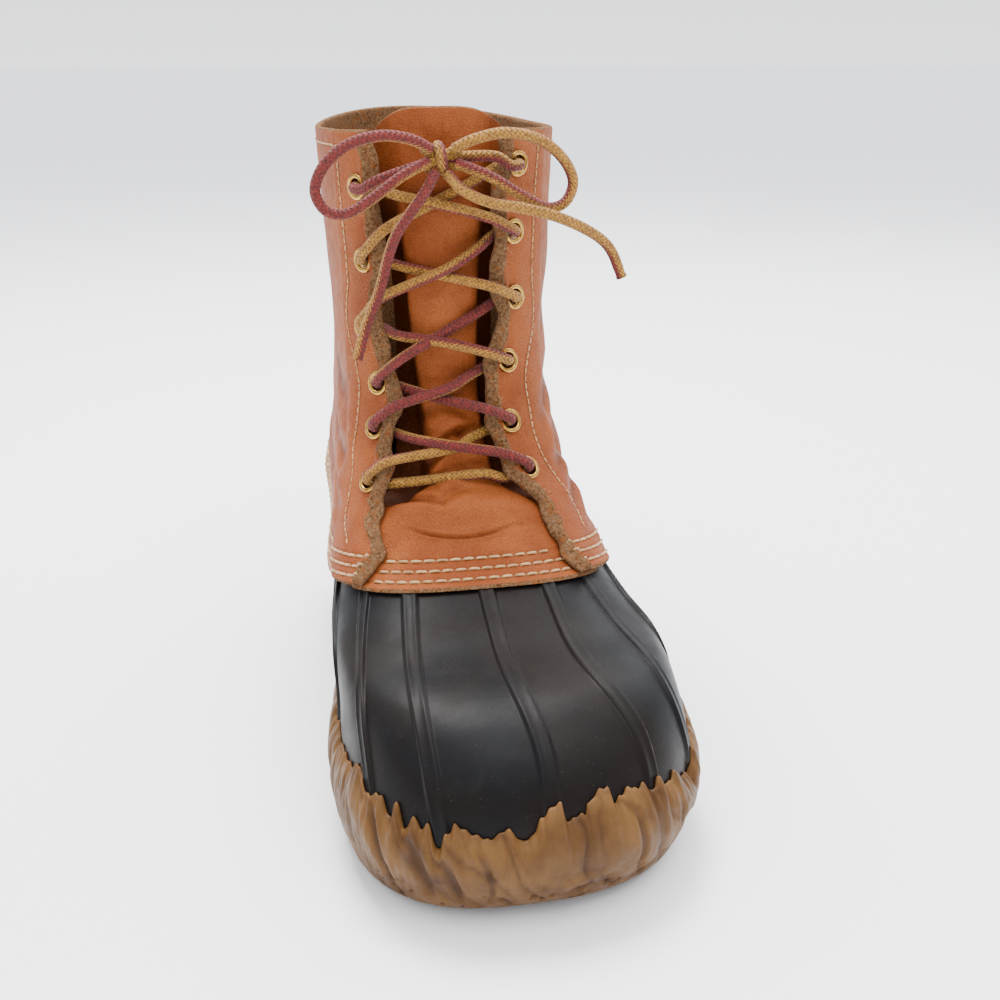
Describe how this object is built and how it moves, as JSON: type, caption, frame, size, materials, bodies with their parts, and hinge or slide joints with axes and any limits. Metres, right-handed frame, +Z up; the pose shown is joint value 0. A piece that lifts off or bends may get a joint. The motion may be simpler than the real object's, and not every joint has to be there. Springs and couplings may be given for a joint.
{
  "type": "duck boot",
  "caption": "Lace-up duck boot for the left foot: dark moulded rubber lower on a gum rubber sole, tan leather shaft with brass eyelets and a round braided lace.",
  "frame": {"origin": "on the floor under the middle of the sole's outline", "axes": "+Z up, -Y to the toe, +Y to the heel, +X to the boot's outer (lateral) side"},
  "size_m": [0.131, 0.3, 0.2415],
  "materials": {
    "gum_rubber": "matte tan gum rubber with a ragged upper edge",
    "dark_rubber": "satin near-black moulded rubber with raised ribs",
    "tan_leather": "soft orange-tan full-grain leather, raw fuzzy edges, cream stitching",
    "insole_felt": "dark brown felt",
    "brass": "polished brass, lightly worn",
    "lace_braid": "round braid of golden yellow and maroon thread"
  },
  "bodies": {
    "root": {"outsole": "gum_rubber", "rubber_lower": "dark_rubber", "insole": "insole_felt", "quarters": "tan_leather", "backstay": "tan_leather", "vamp_tongue": "tan_leather", "eyelet_medial_1": "brass", "eyelet_medial_2": "brass", "eyelet_medial_3": "brass", "eyelet_medial_4": "brass", "eyelet_medial_5": "brass", "eyelet_medial_6": "brass", "eyelet_lateral_1": "brass", "eyelet_lateral_2": "brass", "eyelet_lateral_3": "brass", "eyelet_lateral_4": "brass", "eyelet_lateral_5": "brass", "eyelet_lateral_6": "brass", "lace_crossing_1": "lace_braid", "lace_crossing_2": "lace_braid", "lace_crossing_3": "lace_braid", "lace_crossing_4": "lace_braid", "lace_crossing_5": "lace_braid", "lace_bar": "lace_braid", "lace_knot": "lace_braid", "lace_loop_medial": "lace_braid", "lace_loop_lateral": "lace_braid", "lace_end_medial": "lace_braid", "lace_end_lateral": "lace_braid"}
  },
  "joints": []
}
